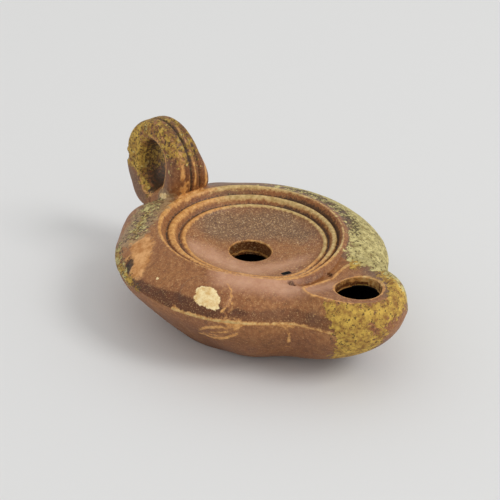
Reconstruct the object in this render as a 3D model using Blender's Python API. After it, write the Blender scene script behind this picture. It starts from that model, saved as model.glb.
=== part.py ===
"""Round clay oil lamp made in a two-part mould: hollow body, nozzle with a heart-shaped top, ribbed ring handle.

Metres, +Z up. The lamp stands on Z = 0 with the body's axis at the origin, the nozzle towards -Y and the handle
towards +Y. Directions around the axis are bearings: 0 at the nozzle, growing towards -X.
"""

import math

import bmesh
import bpy
import numpy as np

MM = 0.001

# Body: a round bowl whose two halves meet at a seam
BODY_RADIUS = 37.5 * MM
SEAM_HEIGHT = 18.5 * MM
SEAM_RIDGE = 0.35 * MM
BASE_RADIUS = 23.3 * MM
WALL = 3.2 * MM
BASE_GROOVE_RADIUS = 20.0 * MM
BASE_GROOVE_WIDTH = 1.6 * MM
BASE_GROOVE_DEPTH = 0.7 * MM

# Sunk disc on the top, with its filling hole, and the three rings around it. A groove's share is its depth out of the
# step between the crests beside it, and the disc's curve is the power by which it rises to its edge.
FILL_HOLE_RADIUS = 5.85 * MM
FILL_HOLE_HEIGHT = 18.6 * MM
LIP_ROUND = 0.5 * MM
DISC_EDGE_HEIGHT = 21.7 * MM
DISC_CURVE = 1.5
INNER_RING_RADIUS = 19.5 * MM
INNER_RING_HEIGHT = 22.6 * MM
INNER_RING_WIDTH = 1.8 * MM
MIDDLE_RING_RADIUS = 22.3 * MM
MIDDLE_RING_HEIGHT = 24.1 * MM
MIDDLE_RING_WIDTH = 2.6 * MM
OUTER_RING_RADIUS = 25.4 * MM
OUTER_RING_HEIGHT = 25.7 * MM
OUTER_RING_WIDTH = 2.0 * MM
INNER_GROOVE_SHARE = 0.4
OUTER_GROOVE_SHARE = 0.3
SHOULDER_HEIGHT = 25.2 * MM

# Nozzle: a second circle that runs softly into the body, and its wick hole
NOZZLE_CENTRE = 36.2 * MM
NOZZLE_RADIUS = 14.9 * MM
NOZZLE_BLEND = 6.9 * MM
NOZZLE_TOP_HEIGHT = 26.2 * MM
NOZZLE_DIP = 2.6 * MM
KEEL_SPREAD = (37.0, 66.0)
WICK_HOLE_CENTRE = 39.4 * MM
WICK_HOLE_RADIUS = 6.2 * MM

# Air hole: a short slit along the edge of the disc
AIR_HOLE_BEARING = 18.5
AIR_HOLE_LENGTH = 2.4 * MM
AIR_HOLE_WIDTH = 0.9 * MM

# Heart-shaped ridge on the nozzle's top, half of it, as distances across and along from the body's axis
HEART = [
    (0.0 * MM, 30.2 * MM),
    (3.4 * MM, 28.9 * MM),
    (7.4 * MM, 28.6 * MM),
    (10.8 * MM, 30.1 * MM),
    (12.2 * MM, 33.4 * MM),
    (11.3 * MM, 38.0 * MM),
    (9.4 * MM, 42.4 * MM),
    (6.2 * MM, 45.9 * MM),
    (0.0 * MM, 48.1 * MM),
]
RIDGE_WIDTH = 1.7 * MM
RIDGE_RISE = 0.5 * MM

# Stamped dots beside the heart and at its cusp
DOT_RADIUS = 1.3 * MM
DOT_DEPTH = 0.45 * MM
DOT_ACROSS = 11.4 * MM
DOT_ALONG = 26.9 * MM
CUSP_DOT_ALONG = 28.5 * MM

# Low oval boss on one shoulder, at a share of the way from the rings to the seam. Its section goes from the sunk foot
# to the top, as shares of its half size and of its rise.
BOSS_BEARING = 65.0
BOSS_STEP = 0.6
BOSS_HALF_WIDTH = 7.0 * MM
BOSS_HALF_LENGTH = 6.1 * MM
BOSS_RISE = 1.3 * MM
BOSS_SECTION = [(0.8, -1.2), (1.0, -0.6), (1.0, 0.2), (0.93, 0.75), (0.75, 0.97), (0.4, 1.0)]

# Handle: an upright ring in the plane X = 0, with three ribs along its rim. Its foot is wider and spreads along the
# shoulder, the more so the higher the power. Its sides also flare there, most where the ring has turned in towards
# the disc, by the turn in degrees.
HANDLE_AT = 38.6 * MM
HANDLE_HEIGHT = 31.2 * MM
HANDLE_HALF_DEPTH = 12.7 * MM
HANDLE_HALF_HEIGHT = 13.4 * MM
HANDLE_FOOT_SPREAD = 3.2 * MM
HANDLE_FOOT_POWER = 3
HANDLE_FLARE = 3.8 * MM
HANDLE_FLARE_SPAN = (0.5, 0.95)
HANDLE_FLARE_TURN = 35.0
HANDLE_TOP_WIDTH = 9.4 * MM
HANDLE_FOOT_WIDTH = 11.6 * MM
FINGER_HOLE_HALF_WIDTH = 4.8 * MM
FINGER_HOLE_HALF_HEIGHT = 7.0 * MM
HANDLE_GROOVE_DEPTH = 0.6 * MM

# Fineness
COLUMNS = 72
SHOULDER_ROWS = 7
UNDERSIDE_ROWS = 6
INSIDE_ROWS = 5
DISC_ROWS = 3
HANDLE_STEPS = 32
BOSS_SIDES = 20
CUTTER_SIDES = 32
DOT_SIDES = 16
RIDGE_STEPS = 4
CUTTER_MARGIN = 4 * MM
SLOPE_STEP = 0.1

# Roundness of the shoulder and of the underside: the fall is (1 - s ** A) ** (1 / B) from the inner edge, s = 0, to
# the seam, s = 1
SHOULDER_ROUND = (1.16, 1.68)
NOZZLE_TOP_ROUND = (12.0, 2.0)
UNDERSIDE_ROUND = (0.98, 1.34)
NOZZLE_UNDERSIDE_ROUND = (1.48, 1.83)


def smooth_least(a, b, blend):
    """The lesser of a and b, rounded off where they differ by less than blend."""
    share = np.clip(0.5 + 0.5 * (b - a) / blend, 0.0, 1.0)
    return b * (1.0 - share) + a * share - blend * share * (1.0 - share)


def ease(value, start, end):
    """0 before start, 1 after end, smooth between."""
    share = np.clip((value - start) / (end - start), 0.0, 1.0)
    return share * share * (3.0 - 2.0 * share)


def outline(bearing, inset):
    """Radius of the seam at each bearing: body circle and nozzle circle run together, drawn in by inset."""
    low = np.full_like(bearing, 0.5 * BODY_RADIUS)
    high = np.full_like(bearing, NOZZLE_CENTRE + 2.0 * NOZZLE_RADIUS)
    for _ in range(40):
        radius = 0.5 * (low + high)
        across = radius * np.sin(bearing)
        along = radius * np.cos(bearing)
        body = np.hypot(across, along) - (BODY_RADIUS - inset)
        nozzle = np.hypot(across, along - NOZZLE_CENTRE) - (NOZZLE_RADIUS - inset)
        inside = smooth_least(body, nozzle, NOZZLE_BLEND) < 0.0
        low = np.where(inside, radius, low)
        high = np.where(inside, high, radius)
    return 0.5 * (low + high)


def nozzle_share(bearing):
    """0 on the round body, 1 at the nozzle's tip, smooth between."""
    return ease(outline(bearing, 0.0), BODY_RADIUS, NOZZLE_CENTRE + NOZZLE_RADIUS)


def keel_share(bearing):
    """How far the underside has turned into the nozzle's keel, from 0 on the round body to 1 below the nozzle."""
    full, none = np.cos(np.radians(KEEL_SPREAD))
    return ease(np.cos(bearing), none, full)


def fall(step, share, body_round, nozzle_round):
    """How far a wall has still to go, from 1 at its inner edge to 0 at the seam, at the share step of its width."""
    power = body_round[0] + (nozzle_round[0] - body_round[0]) * share
    root = body_round[1] + (nozzle_round[1] - body_round[1]) * share
    return (1.0 - step**power) ** (1.0 / root)


def shoulder_edge():
    """Radius at which the shoulder starts, outside the outer ring."""
    return OUTER_RING_RADIUS + 0.5 * OUTER_RING_WIDTH


def shoulder(step, bearing, inset):
    """Radius and height of the upper wall at the share step from the outer ring to the seam.

    Over the nozzle it is flatter and dips towards the rings."""
    edge = shoulder_edge() - 0.5 * inset
    share = nozzle_share(bearing)
    crown = SHOULDER_HEIGHT + (NOZZLE_TOP_HEIGHT - SHOULDER_HEIGHT) * share - inset
    left = fall(step, share, SHOULDER_ROUND, NOZZLE_TOP_ROUND)
    dip = NOZZLE_DIP * share * (1.0 - step)
    radius = edge + (outline(bearing, inset) - edge) * step
    height = SEAM_HEIGHT + (crown - SEAM_HEIGHT) * left - dip
    return radius, height


def underside(step, bearing, inset):
    """Radius and height of the lower wall at the share step from the base to the seam."""
    edge = BASE_RADIUS - inset
    left = fall(step, keel_share(bearing), UNDERSIDE_ROUND, NOZZLE_UNDERSIDE_ROUND)
    radius = edge + (outline(bearing, inset) - edge) * step
    height = SEAM_HEIGHT - (SEAM_HEIGHT - inset) * left
    return radius, height


def top_height(across, along):
    """Height of the upper wall at a place outside the rings."""
    bearing = np.arctan2(across, along)
    edge = shoulder_edge()
    step = np.clip((np.hypot(across, along) - edge) / (outline(bearing, 0.0) - edge), 0.0, 1.0)
    return shoulder(step, bearing, 0.0)[1]


def column_bearings():
    """Bearings of the columns, evenly spaced along the seam and starting at the nozzle's tip."""
    fine = np.linspace(0.0, 2.0 * math.pi, 1441)
    radius = outline(fine, 0.0)
    gaps = np.hypot(np.diff(radius * np.sin(fine)), np.diff(radius * np.cos(fine)))
    length = np.concatenate([[0.0], np.cumsum(gaps)])
    return np.interp(np.arange(COLUMNS) / COLUMNS * length[-1], length, fine)


def disc_height(radius):
    """Height of the sunk disc, which dips from its edge to the filling hole."""
    edge = INNER_RING_RADIUS - 0.5 * INNER_RING_WIDTH
    share = np.clip((radius - FILL_HOLE_RADIUS) / (edge - FILL_HOLE_RADIUS), 0.0, 1.0)
    return FILL_HOLE_HEIGHT + (DISC_EDGE_HEIGHT - FILL_HOLE_HEIGHT) * share**DISC_CURVE


def top_profile():
    """Radii and heights from the filling hole's lip over the disc and the three rings."""
    points = [
        (FILL_HOLE_RADIUS, FILL_HOLE_HEIGHT - LIP_ROUND),
        (FILL_HOLE_RADIUS + 0.3 * LIP_ROUND, FILL_HOLE_HEIGHT - 0.3 * LIP_ROUND),
        (FILL_HOLE_RADIUS + LIP_ROUND, disc_height(FILL_HOLE_RADIUS + LIP_ROUND)),
    ]
    disc_edge = INNER_RING_RADIUS - 0.5 * INNER_RING_WIDTH
    for step in np.linspace(0.0, 1.0, DISC_ROWS + 1)[1:]:
        radius = FILL_HOLE_RADIUS + LIP_ROUND + (disc_edge - FILL_HOLE_RADIUS - LIP_ROUND) * step
        points.append((radius, disc_height(radius)))
    inner_groove = INNER_RING_HEIGHT - INNER_GROOVE_SHARE * (INNER_RING_HEIGHT - DISC_EDGE_HEIGHT)
    outer_groove = MIDDLE_RING_HEIGHT - OUTER_GROOVE_SHARE * (MIDDLE_RING_HEIGHT - INNER_RING_HEIGHT)
    points += [
        (INNER_RING_RADIUS - 0.15 * INNER_RING_WIDTH, INNER_RING_HEIGHT),
        (INNER_RING_RADIUS + 0.15 * INNER_RING_WIDTH, INNER_RING_HEIGHT),
        (INNER_RING_RADIUS + 0.5 * INNER_RING_WIDTH, inner_groove),
        (MIDDLE_RING_RADIUS - 0.5 * MIDDLE_RING_WIDTH, 0.5 * (inner_groove + MIDDLE_RING_HEIGHT)),
        (MIDDLE_RING_RADIUS - 0.15 * MIDDLE_RING_WIDTH, MIDDLE_RING_HEIGHT),
        (MIDDLE_RING_RADIUS + 0.25 * MIDDLE_RING_WIDTH, MIDDLE_RING_HEIGHT),
        (MIDDLE_RING_RADIUS + 0.5 * MIDDLE_RING_WIDTH, outer_groove),
        (OUTER_RING_RADIUS - 0.5 * OUTER_RING_WIDTH, outer_groove),
        (OUTER_RING_RADIUS - 0.2 * OUTER_RING_WIDTH, OUTER_RING_HEIGHT - 0.2 * (OUTER_RING_HEIGHT - outer_groove)),
        (OUTER_RING_RADIUS, OUTER_RING_HEIGHT),
    ]
    return points


def outer_rows(bearing):
    """Rows of the outside, from the filling hole's lip to the edge of the base, as pairs of radius and height."""
    rows = []
    for radius, height in top_profile():
        rows.append((np.full_like(bearing, radius), np.full_like(bearing, height)))
    for step in np.sin(np.linspace(0.0, 0.5 * math.pi, SHOULDER_ROWS))[:-1]:
        rows.append(shoulder(step, bearing, 0.0))
    rows.append((outline(bearing, 0.0) + SEAM_RIDGE, np.full_like(bearing, SEAM_HEIGHT)))
    for step in np.sin(np.linspace(0.5 * math.pi, 0.0, UNDERSIDE_ROWS))[1:]:
        rows.append(underside(step, bearing, 0.0))
    for share, depth in ((0.5, 0.0), (0.25, 1.0), (-0.25, 1.0), (-0.5, 0.0)):
        radius = BASE_GROOVE_RADIUS + share * BASE_GROOVE_WIDTH
        rows.append((np.full_like(bearing, radius), np.full_like(bearing, depth * BASE_GROOVE_DEPTH)))
    return rows


def inner_rows(bearing, inset, neck):
    """Rows of a wall that lies inset inside the outside, from under the disc to the floor.

    With a neck the first row is the filling hole's lower edge, otherwise it is a narrow ring for a cap."""
    edge = shoulder_edge() - 0.5 * inset
    crown = SHOULDER_HEIGHT - inset
    rim = FILL_HOLE_RADIUS if neck else 0.5 * FILL_HOLE_RADIUS
    bottom = FILL_HOLE_HEIGHT - inset
    rows = []
    for step in np.linspace(0.0, 1.0, DISC_ROWS + 1)[:-1]:
        radius = rim + (edge - rim) * step
        height = bottom + (crown - bottom) * step**DISC_CURVE
        rows.append((np.full_like(bearing, radius), np.full_like(bearing, height)))
    for step in np.sin(np.linspace(0.0, 0.5 * math.pi, INSIDE_ROWS)):
        rows.append(shoulder(step, bearing, inset))
    for step in np.sin(np.linspace(0.5 * math.pi, 0.0, INSIDE_ROWS))[1:]:
        rows.append(underside(step, bearing, inset))
    return rows


def place(radius, height, bearing):
    """Points at a radius, a height and a bearing."""
    return np.stack([-radius * np.sin(bearing), -radius * np.cos(bearing), height], axis=-1)


def grid_object(name, grid, closed_rows):
    """Object from a grid of points, rows by columns, whose columns close on themselves.

    Its rows close on themselves too, or else each end is capped."""
    rows, columns = grid.shape[:2]
    mesh = bpy.data.meshes.new(name)
    bm = bmesh.new()
    points = [[bm.verts.new(point) for point in row] for row in grid.tolist()]
    for row in range(rows if closed_rows else rows - 1):
        here = points[row]
        after = points[(row + 1) % rows]
        for column in range(columns):
            beside = (column + 1) % columns
            bm.faces.new((here[column], here[beside], after[beside], after[column]))
    if not closed_rows:
        for end in (points[0], points[-1]):
            middle = bm.verts.new(np.mean([corner.co for corner in end], axis=0))
            for column in range(columns):
                bm.faces.new((end[column], end[(column + 1) % columns], middle))
    bmesh.ops.recalc_face_normals(bm, faces=bm.faces)
    bm.to_mesh(mesh)
    bm.free()
    thing = bpy.data.objects.new(name, mesh)
    bpy.context.scene.collection.objects.link(thing)
    return thing


def helper(thing):
    """Marks an object that only joins or cuts another."""
    thing.hide_render = True
    thing.display_type = "WIRE"
    return thing


def combine(thing, other, operation):
    """Adds a Boolean of other to thing."""
    modifier = thing.modifiers.new(f"{operation.lower()} {other.name}", "BOOLEAN")
    modifier.operation = operation
    modifier.solver = "EXACT"
    modifier.object = other


def fired_clay():
    """Red-brown slip over a buff clay."""
    material = bpy.data.materials.new("slip-coated fired clay")
    material.use_nodes = True
    shader = material.node_tree.nodes["Principled BSDF"]
    shader.inputs["Base Color"].default_value = (0.19, 0.085, 0.055, 1.0)
    shader.inputs["Roughness"].default_value = 0.5
    shader.inputs["Metallic"].default_value = 0.0
    return material


def body():
    """The hollow body: the outside from the base up to the lip, then the inside down to the floor."""
    bearing = column_bearings()
    rows = outer_rows(bearing)[::-1] + inner_rows(bearing, WALL, True)
    grid = np.stack([place(radius, height, bearing) for radius, height in rows])
    return grid_object("oil_lamp", grid, False)


def wall_core():
    """Closed solid that ends halfway through the wall, so that what it trims never reaches the chamber."""
    bearing = column_bearings() + math.pi / COLUMNS
    rows = inner_rows(bearing, 0.5 * WALL, False)
    grid = np.stack([place(radius, height, bearing) for radius, height in rows])
    return helper(grid_object("wall_core", grid, False))


def handle():
    """The ring: a section carried round the finger hole, each of its points a share across the half width and a share
    of the way out from the hole to the rim, with three ribs along the rim."""
    path = np.arange(HANDLE_STEPS) / HANDLE_STEPS * 2.0 * math.pi
    foot = 0.5 - 0.5 * np.sin(path)
    half_width = 0.5 * (HANDLE_TOP_WIDTH + (HANDLE_FOOT_WIDTH - HANDLE_TOP_WIDTH) * foot)
    root = 0.5 - 0.5 * np.sin(path + math.radians(HANDLE_FLARE_TURN))
    flare = HANDLE_FLARE * ease(root, *HANDLE_FLARE_SPAN)
    out_y = HANDLE_HALF_DEPTH + HANDLE_FOOT_SPREAD * foot**HANDLE_FOOT_POWER - FINGER_HOLE_HALF_WIDTH
    out_z = HANDLE_HALF_HEIGHT - FINGER_HOLE_HALF_HEIGHT
    groove = 1.0 - HANDLE_GROOVE_DEPTH / out_z
    half_section = [
        (0.0, 1.0),
        (0.2, 1.0),
        (0.37, groove),
        (0.54, 1.0),
        (0.76, 0.95),
        (0.93, 0.77),
        (1.0, 0.5),
        (0.97, 0.3),
        (0.84, 0.13),
        (0.45, 0.01),
        (0.0, 0.0),
    ]
    section = half_section + [(-across, out) for across, out in half_section[-2:0:-1]]
    columns = []
    for across, out in section:
        x = half_width * across + flare * out * across**3
        y = HANDLE_AT + np.cos(path) * (FINGER_HOLE_HALF_WIDTH + out_y * out)
        z = HANDLE_HEIGHT + np.sin(path) * (FINGER_HOLE_HALF_HEIGHT + out_z * out)
        columns.append(np.stack([x, y, z], axis=-1))
    ring = helper(grid_object("handle_ring", np.stack(columns, axis=1), True))
    combine(ring, wall_core(), "DIFFERENCE")
    return ring


def boss():
    """The boss: a flat-topped oval pebble sunk into the shoulder, square to the shoulder's slope."""
    bearing = np.array([math.radians(BOSS_BEARING)])
    spots = []
    for step in (BOSS_STEP - SLOPE_STEP, BOSS_STEP, BOSS_STEP + SLOPE_STEP):
        radius, height = shoulder(step, bearing, 0.0)
        spots.append(place(radius, height, bearing)[0])
    down = spots[2] - spots[0]
    down /= np.linalg.norm(down)
    side = np.array([math.cos(bearing[0]), -math.sin(bearing[0]), 0.0])
    up = np.cross(down, side)
    up *= math.copysign(1.0, up[2])
    turn = np.arange(BOSS_SIDES) / BOSS_SIDES * 2.0 * math.pi
    rows = []
    for size, level in BOSS_SECTION:
        across = np.cos(turn)[:, None] * side * BOSS_HALF_WIDTH * size
        along = np.sin(turn)[:, None] * down * BOSS_HALF_LENGTH * size
        rows.append(spots[1] + across + along + up * BOSS_RISE * level)
    return helper(grid_object("boss", np.stack(rows), False))


def heart_path():
    """Points along the whole heart, on a smooth curve through its own points."""
    half = [(across, along) for across, along in HEART]
    corners = np.array(half + [(-across, along) for across, along in half[-2:0:-1]])
    before = np.roll(corners, 1, axis=0)
    after = np.roll(corners, -1, axis=0)
    beyond = np.roll(corners, -2, axis=0)
    points = []
    for start, p0, p1, p2, p3 in zip(range(len(corners)), before, corners, after, beyond):
        for t in np.arange(RIDGE_STEPS) / RIDGE_STEPS:
            turn = (p2 - p0) * t + (2 * p0 - 5 * p1 + 4 * p2 - p3) * t**2 + (3 * p1 - p0 - 3 * p2 + p3) * t**3
            points.append(p1 + 0.5 * turn)
    return np.array(points)


def heart_ridge():
    """Half-round ridge along the heart: a section of shares of its half width and of its rise, sunk into the top."""
    path = heart_path()
    along = np.roll(path, -1, axis=0) - np.roll(path, 1, axis=0)
    along /= np.linalg.norm(along, axis=1)[:, None]
    side = np.stack([along[:, 1], -along[:, 0]], axis=1)
    height = top_height(np.abs(path[:, 0]), path[:, 1])
    half = 0.5 * RIDGE_WIDTH
    section = [(-1.0, -0.6), (-0.6, 0.6), (0.0, 1.0), (0.6, 0.6), (1.0, -0.6), (0.0, -2.5)]
    columns = []
    for across, rise in section:
        spot = path + side * half * across
        z = height + RIDGE_RISE * rise
        columns.append(np.stack([-spot[:, 0], -spot[:, 1], z], axis=-1))
    return helper(grid_object("heart_ridge", np.stack(columns, axis=1), True))


def round_cutter(name, centre, radius):
    """Upright cylinder through the upper wall."""
    bearing = np.arange(CUTTER_SIDES) / CUTTER_SIDES * 2.0 * math.pi
    rows = []
    for height in (SEAM_HEIGHT - 0.5 * CUTTER_MARGIN, OUTER_RING_HEIGHT + CUTTER_MARGIN):
        rows.append(place(radius, np.full_like(bearing, height), bearing) + np.array(centre))
    return helper(grid_object(name, np.stack(rows), False))


def wick_hole():
    """Cutter for the wick hole."""
    return round_cutter("wick_hole", (0.0, -WICK_HOLE_CENTRE, 0.0), WICK_HOLE_RADIUS)


def air_hole():
    """Cutter for the slit: an eight-sided prism along the disc's edge, its corners shares of its length and width."""
    bearing = math.radians(AIR_HOLE_BEARING)
    radius = INNER_RING_RADIUS - 0.5 * INNER_RING_WIDTH
    outward = np.array([-math.sin(bearing), -math.cos(bearing), 0.0])
    sideways = np.array([math.cos(bearing), -math.sin(bearing), 0.0])
    quarter = [(0.5, 0.25), (0.3, 0.5)]
    half = quarter + [(-length, depth) for length, depth in quarter[::-1]]
    corners = half + [(-length, -depth) for length, depth in half]
    rows = []
    for height in (SEAM_HEIGHT - 0.5 * CUTTER_MARGIN, OUTER_RING_HEIGHT + CUTTER_MARGIN):
        lift = np.array([0.0, 0.0, height])
        spots = [
            outward * (radius + AIR_HOLE_WIDTH * depth) + sideways * AIR_HOLE_LENGTH * length + lift
            for length, depth in corners
        ]
        rows.append(np.array(spots))
    return helper(grid_object("air_hole", np.stack(rows), False))


def dot(name, across, along):
    """Cutter for a stamped dot: a ball that dips into the nozzle's top."""
    ball = (DOT_RADIUS**2 + DOT_DEPTH**2) / (2.0 * DOT_DEPTH)
    mesh = bpy.data.meshes.new(name)
    bm = bmesh.new()
    bmesh.ops.create_uvsphere(bm, u_segments=DOT_SIDES, v_segments=DOT_SIDES, radius=ball)
    lift = float(top_height(np.array(abs(across)), np.array(along))) + ball - DOT_DEPTH
    bmesh.ops.translate(bm, verts=bm.verts, vec=(across, -along, lift))
    bm.to_mesh(mesh)
    bm.free()
    thing = bpy.data.objects.new(name, mesh)
    bpy.context.scene.collection.objects.link(thing)
    return helper(thing)


def build():
    """The lamp, one solid."""
    for thing in list(bpy.data.objects):
        bpy.data.objects.remove(thing)
    lamp = body()
    lamp.data.materials.append(fired_clay())
    combine(lamp, handle(), "UNION")
    combine(lamp, boss(), "UNION")
    combine(lamp, heart_ridge(), "UNION")
    combine(lamp, wick_hole(), "DIFFERENCE")
    combine(lamp, air_hole(), "DIFFERENCE")
    combine(lamp, dot("dot_right", DOT_ACROSS, DOT_ALONG), "DIFFERENCE")
    combine(lamp, dot("dot_left", -DOT_ACROSS, DOT_ALONG), "DIFFERENCE")
    combine(lamp, dot("dot_cusp", 0.0, CUSP_DOT_ALONG), "DIFFERENCE")
    lamp.data.shade_smooth()
    lamp.data.set_sharp_from_angle(angle=math.radians(35))


build()
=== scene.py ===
"""Looks of the round clay oil lamp: relief, worn slip, crusts, chips, painted shade and sheen, camera and
soft light.

The numbers are in millimetres unless a name says otherwise. As in the solid, directions around the lamp's
axis are bearings: 0 at the nozzle, growing towards -X. The camera stands on the side of bearing 45.
"""

import math

import bpy
import numpy as np
from mathutils import Matrix


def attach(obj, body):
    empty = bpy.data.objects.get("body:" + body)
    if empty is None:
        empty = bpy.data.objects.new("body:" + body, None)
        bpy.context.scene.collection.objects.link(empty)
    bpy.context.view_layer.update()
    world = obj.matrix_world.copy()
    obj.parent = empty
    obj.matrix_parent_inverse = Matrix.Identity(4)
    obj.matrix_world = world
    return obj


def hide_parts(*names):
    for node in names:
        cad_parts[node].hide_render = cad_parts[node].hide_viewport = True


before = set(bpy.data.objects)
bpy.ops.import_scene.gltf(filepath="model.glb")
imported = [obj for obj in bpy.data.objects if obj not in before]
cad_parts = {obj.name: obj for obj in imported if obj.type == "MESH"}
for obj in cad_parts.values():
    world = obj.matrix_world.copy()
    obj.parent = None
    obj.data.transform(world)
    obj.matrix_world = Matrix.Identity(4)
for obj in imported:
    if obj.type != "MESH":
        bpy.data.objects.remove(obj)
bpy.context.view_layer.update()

MM = 0.001

# Camera, as fitted to the photo: focal length in pixels of a picture 500 pixels wide, angles in degrees
PICTURE_WIDTH = 500
FOCAL_PIXELS = 1300
CAMERA_DISTANCE = 369.9
CAMERA_AZIMUTH = -44.53
CAMERA_ELEVATION = 32.11
CAMERA_PAN = -0.11
CAMERA_TILT = -2.52
CAMERA_ROLL = -2.65
SENSOR_WIDTH = 36.0

# Body, the sizes of the solid
BODY_RADIUS = 37.5
SEAM_HEIGHT = 18.5
SEAM_RISE = 0.35
SEAM_HALF_WIDTH = 0.55
BASE_RADIUS = 23.3
WALL = 3.2
BASE_GROOVE_RADIUS = 20.0
BASE_GROOVE_HALF_WIDTH = 0.8
BASE_GROOVE_DEPTH = 0.7
FILL_HOLE_RADIUS = 5.85
FILL_HOLE_HEIGHT = 18.6
COLLAR_DEPTH = 4.6
COLLAR_ROWS = (1.0, 0.93, 0.86, 0.79, 0.72, 0.65, 0.58, 0.5, 0.35, 0.2)
LIP_ROUND = 0.5
SHOULDER_START = 26.4
SHOULDER_HEIGHT = 25.2
DISC_EDGE_RADIUS = 18.3
DISC_EDGE_HEIGHT = 21.6
DISC_CURVE = 1.5

# Section of the three rings, from the disc's edge to the shoulder, as radius and height
RING_SECTION = [
    (18.3, 21.6), (18.9, 22.15), (19.4, 22.6), (19.9, 22.45), (20.45, 22.05), (20.8, 22.1), (21.3, 23.0),
    (21.8, 23.95), (22.4, 24.15), (23.0, 23.9), (23.45, 23.4), (23.75, 23.4), (24.25, 24.3), (24.8, 25.4),
    (25.3, 25.7), (25.8, 25.55), (26.4, 25.2),
]
INNER_CREST = 19.5
MIDDLE_CREST = 22.4
OUTER_CREST = 25.3
INNER_GROOVE = 20.6
OUTER_GROOVE = 23.6

# The rings sit a little off centre, across and along by radius, and lean with the nozzle side lower
SHIFT_ACROSS = {0.0: -0.4, 7.0: -0.4, 19.5: 0.3, 22.4: 0.0, 25.3: -0.35, 40.0: 0.0}
SHIFT_ALONG = {0.0: 0.4, 7.0: 0.4, 19.5: -0.3, 22.4: 0.0, 25.3: 0.35, 40.0: 0.0}
RIM_LEAN = 0.012

# The rings and the shoulder sink beside the nozzle: how far, at which bearing, over how many degrees
NOZZLE_SINK = 1.8
SINK_BEARING = 13.0
SINK_SPAN = 25.0

# Nozzle, and how round the walls are: two powers on the body and two at the nozzle
NOZZLE_CENTRE = 36.2
NOZZLE_RADIUS = 14.9
NOZZLE_BLEND = 6.9
NOZZLE_TOP_HEIGHT = 26.2
NOZZLE_DIP = 2.6
KEEL_SPREAD = (37.0, 66.0)
SHOULDER_ROUND = (1.16, 1.68)
NOZZLE_TOP_ROUND = (12.0, 2.0)
UNDERSIDE_ROUND = (0.98, 1.34)
NOZZLE_UNDERSIDE_ROUND = (1.48, 1.83)
WICK_HOLE_CENTRE = 39.4
WICK_HOLE_RADIUS = 6.1
WICK_LIP_ROUND = 0.35

# Wall of the wick hole below its lip, as distance outwards and upwards, with a shallow line around it
WICK_WALL = [(0.0, -1.2), (-0.05, -1.9), (0.0, -2.4), (0.0, -2.7), (0.0, -3.0), (0.0, -3.3), (0.0, -8.0)]

# Air hole, a slit at the disc's edge
AIR_HOLE_BEARING = 12.5
AIR_HOLE_RADIUS = 17.4
AIR_HOLE_LENGTH = 2.7
AIR_HOLE_WIDTH = 1.0

# Heart-shaped ridge on the nozzle's top, half of it, as distances across and along from the body's axis
HEART = [
    (0.0, 30.2), (3.4, 28.9), (7.4, 28.6), (10.8, 30.1), (12.2, 33.4), (11.3, 38.0), (9.4, 42.4),
    (6.2, 45.9), (0.0, 48.1),
]
RIDGE_HALF_WIDTH = 0.95
RIDGE_RISE = 0.55

# Stamped dots: x, y and the direction in which each one's crescent of painted shadow faces, in degrees from
# +X
DOTS = [(-9.9, -25.4, 55.0), (11.4, -26.9, -20.0), (1.4, -27.2, -20.0)]
DOT_RADIUS = 1.25
DOT_DEPTH = 0.5
DOT_RIM = 0.16

# Boss on the left shoulder
BOSS_BEARING = 65.0
BOSS_STEP = 0.6
BOSS_HALF_WIDTH = 7.0
BOSS_HALF_LENGTH = 6.1
BOSS_RISE = 1.15

# Handle, its section given as shares of the half width and of the way out
HANDLE_AT = 38.6
HANDLE_HEIGHT = 31.2
HANDLE_HALF_DEPTH = 12.7
HANDLE_HALF_HEIGHT = 13.4
HANDLE_FOOT_SPREAD = 3.2
HANDLE_FOOT_POWER = 3
HANDLE_FLARE = 3.8
HANDLE_FLARE_SPAN = (0.5, 0.95)
HANDLE_FLARE_TURN = 35.0
HANDLE_TOP_WIDTH = 9.4
HANDLE_FOOT_WIDTH = 11.6
FINGER_HOLE_HALF_WIDTH = 4.8
FINGER_HOLE_HALF_HEIGHT = 7.0
FINGER_HOLE_EDGE = (6.2, 8.1)
HANDLE_SECTION = [
    (0.0, 1.0), (0.27, 1.0), (0.52, 0.99), (0.74, 0.94), (0.9, 0.82), (0.98, 0.64), (1.0, 0.44),
    (0.99, 0.27), (0.94, 0.175), (0.83, 0.125), (0.6, 0.06), (0.3, 0.01), (0.0, 0.0),
]
FINGER_HOLE_SHIFT = (-0.4, 0.5)
HANDLE_LEAN = 0.9
ROOT_FILLET = 1.8

# Grooves of the handle's rim: place across at the top, its shift at the foot, half width, depth, share at the
# back. The last one stands proud.
HANDLE_GROOVES = [
    (-0.1, -0.5, 0.34, 0.6, 0.5),
    (2.2, 1.3, 0.4, 0.55, 0.15),
    (-2.5, 0.0, 0.5, 0.25, 0.0),
    (-3.7, 0.0, 0.55, -0.3, 0.0),
]

# Rise of the shoulder beside the handle's root, on the left and on the right
ROOT_RISE = (1.7, 0.9)

# Places where handwork left the body fuller: centre, size and rise
SWELLINGS = [
    ((-33.5, 13.0, 15.5), (9.0, 11.0, 4.0), 0.8),
    ((13.0, -45.0, 19.5), (9.0, 7.0, 7.0), 0.55),
]

# How far the wear on each ring's crest reaches to both sides, by bearing in degrees
CREST_WEAR = {
    INNER_CREST: {-180: 0.55, -90: 0.55, -30: 0.5, 0: 0.4, 30: 0.3, 60: 0.35, 120: 0.55, 180: 0.55},
    MIDDLE_CREST: {
        -180: 1.1, -110: 0.95, -60: 0.75, -20: 0.4, 0: 0.3, 40: 0.1, 75: 0.3, 110: 0.8, 140: 1.05, 180: 1.1,
    },
    OUTER_CREST: {
        -180: 0.95, -140: 0.8, -90: 0.15, -40: 0.15, -15: 0.4, 20: 0.4, 45: 0.1, 90: 0.15, 130: 0.45,
        160: 0.95, 180: 0.95,
    },
}
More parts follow.
